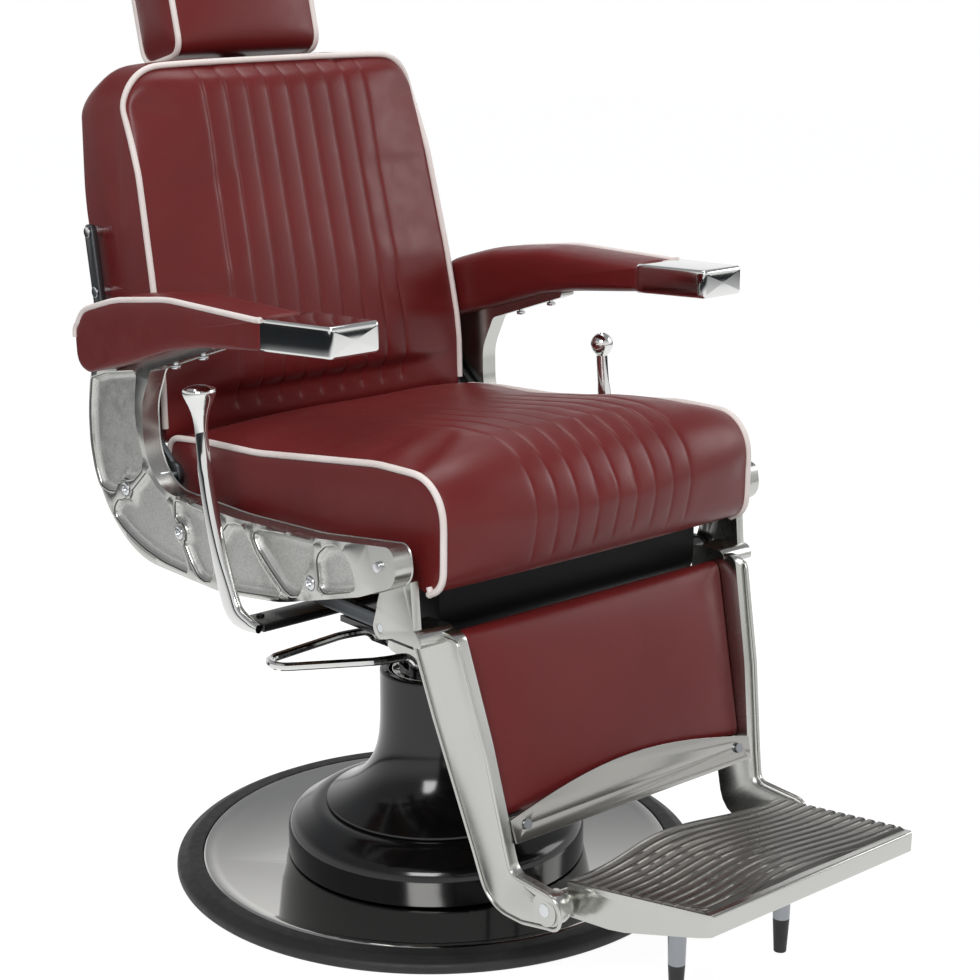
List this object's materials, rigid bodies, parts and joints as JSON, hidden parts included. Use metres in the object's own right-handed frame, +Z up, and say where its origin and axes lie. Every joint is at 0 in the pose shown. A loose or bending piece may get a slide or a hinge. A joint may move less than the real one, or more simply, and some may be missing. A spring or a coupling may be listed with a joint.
{
  "type": "hydraulic barber chair",
  "caption": "Round-based hydraulic barber chair with a foot pump lever, swivelling seat, reclining channelled back, headrest, linked leg rest and folding footplate.",
  "frame": {"origin": "centre of the round base on the floor", "axes": "+Z up, the chair faces -Y, +X towards the occupant's left"},
  "size_m": [0.6935, 1.1655, 1.1891],
  "materials": {
    "black_rubber": "matte",
    "polished_steel": "polished",
    "chrome": "polished",
    "bright_screw": "satin",
    "cast_iron": "matte",
    "plain_steel": "satin",
    "bronze": "satin",
    "black_enamel": "gloss",
    "black_moulding": "gloss",
    "polished_aluminium": "polished",
    "footplate_casting": "satin",
    "grey_steel": "satin",
    "plywood": "matte",
    "burgundy_leather": "satin"
  },
  "bodies": {
    "base": {"rubber_rim": "black_rubber", "base_cover": "polished_steel", "ballast_plate": "cast_iron", "base_bolts": "bright_screw", "skirt_cover": "black_enamel", "column_cover": "black_moulding", "guide_tube": "plain_steel", "upper_bush": "bronze", "piston_rod": "chrome"},
    "ram": {"ram_tube": "chrome", "ram_foot": "bronze", "ram_seal": "black_rubber", "ram_cap": "chrome", "pump_head": "black_enamel", "valve_cartridge": "bronze", "swivel_spindle": "plain_steel", "thrust_washer": "bronze", "spindle_nut": "plain_steel", "plunger_spring": "plain_steel"},
    "plunger": {"pump_plunger": "plain_steel"},
    "foot_lever": {"pump_lever": "chrome", "lever_rocker": "plain_steel"},
    "seat": {"swivel_hub": "polished_aluminium", "underframe": "black_enamel", "side_frame_right": "polished_aluminium", "side_frame_left": "polished_aluminium", "frame_bolts": "bright_screw", "pivot_pins": "bright_screw", "seat_board": "plywood", "seat_cushion": "burgundy_leather", "front_cover": "black_moulding", "arm_cores": "plywood", "arm_pad_right": "burgundy_leather", "arm_pad_left": "burgundy_leather", "arm_cap_right": "chrome", "arm_cap_left": "chrome", "arm_screws": "bright_screw"},
    "recline_handle": {"recline_lever": "chrome"},
    "lock_handle": {"lock_lever": "chrome"},
    "back": {"back_arm_right": "grey_steel", "back_arm_left": "grey_steel", "back_shell": "burgundy_leather", "back_cushion": "burgundy_leather", "back_bolts": "bright_screw", "headrest_socket": "plain_steel", "headrest_knob": "black_moulding"},
    "headrest": {"headrest_bar": "chrome", "headrest_cushion": "burgundy_leather"},
    "links": {"recline_links": "grey_steel", "link_pins": "bright_screw"},
    "leg_rest": {"leg_right": "polished_aluminium", "leg_left": "polished_aluminium", "calf_board": "black_moulding", "calf_pad": "burgundy_leather", "kick_plate": "polished_steel", "kick_fittings": "plain_steel", "footplate_pins": "bright_screw"},
    "foot_rest": {"footplate": "footplate_casting", "footplate_posts": "chrome", "post_tips": "black_rubber"}
  },
  "joints": [
    {"name": "lift", "type": "slide", "parent": "base", "child": "ram", "axis": [0, 0, 1], "range_m": [0, 0.15]},
    {"name": "pump", "type": "hinge", "parent": "ram", "child": "foot_lever", "pos_m": [-0.02054, 0.00437, 0.278], "axis": [-0.2079, -0.9781, 0], "range_deg": [0, 25], "stiffness_Nm_per_rad": 6, "springref_deg": -17.19},
    {"name": "plunger_stroke", "type": "slide", "parent": "ram", "child": "plunger", "axis": [0, 0, -1], "range_m": [0, 0.0048], "deforming": ["plunger_spring"]},
    {"name": "swivel", "type": "hinge", "parent": "ram", "child": "seat", "pos_m": [0, 0, 0.3], "axis": [0, 0, 1], "continuous": true},
    {"name": "recline_release", "type": "hinge", "parent": "seat", "child": "recline_handle", "pos_m": [-0.2, -0.054, 0.409], "axis": [-1, 0, 0], "range_deg": [0, 12], "stiffness_Nm_per_rad": 8, "springref_deg": -14.32},
    {"name": "lock_release", "type": "hinge", "parent": "seat", "child": "lock_handle", "pos_m": [0.2, -0.054, 0.409], "axis": [-1, 0, 0], "range_deg": [0, 12], "stiffness_Nm_per_rad": 8, "springref_deg": -14.32},
    {"name": "recline", "type": "hinge", "parent": "seat", "child": "back", "pos_m": [0, 0.2, 0.532], "axis": [-1, 0, 0], "range_deg": [0, 40]},
    {"name": "headrest_height", "type": "slide", "parent": "back", "child": "headrest", "axis": [0, 0, 1], "range_m": [0, 0.09]},
    {"name": "link_swing", "type": "hinge", "parent": "back", "child": "links", "pos_m": [0, 0.231, 0.447], "axis": [-1, 0, 0], "range_deg": [-40, 0]},
    {"name": "leg_rest_swing", "type": "hinge", "parent": "seat", "child": "leg_rest", "pos_m": [0, -0.262, 0.523], "axis": [-1, 0, 0], "range_deg": [0, 40]},
    {"name": "footplate_fold", "type": "hinge", "parent": "leg_rest", "child": "foot_rest", "pos_m": [0, -0.441, 0.146], "axis": [-1, 0, 0], "range_deg": [0, 80]}
  ],
  "couplings": [
    {"joint": "plunger_stroke", "follows": "pump", "m_per_rad": 0.0107},
    {"joint": "link_swing", "follows": "recline", "ratio": -1},
    {"joint": "leg_rest_swing", "follows": "recline", "ratio": 1}
  ]
}
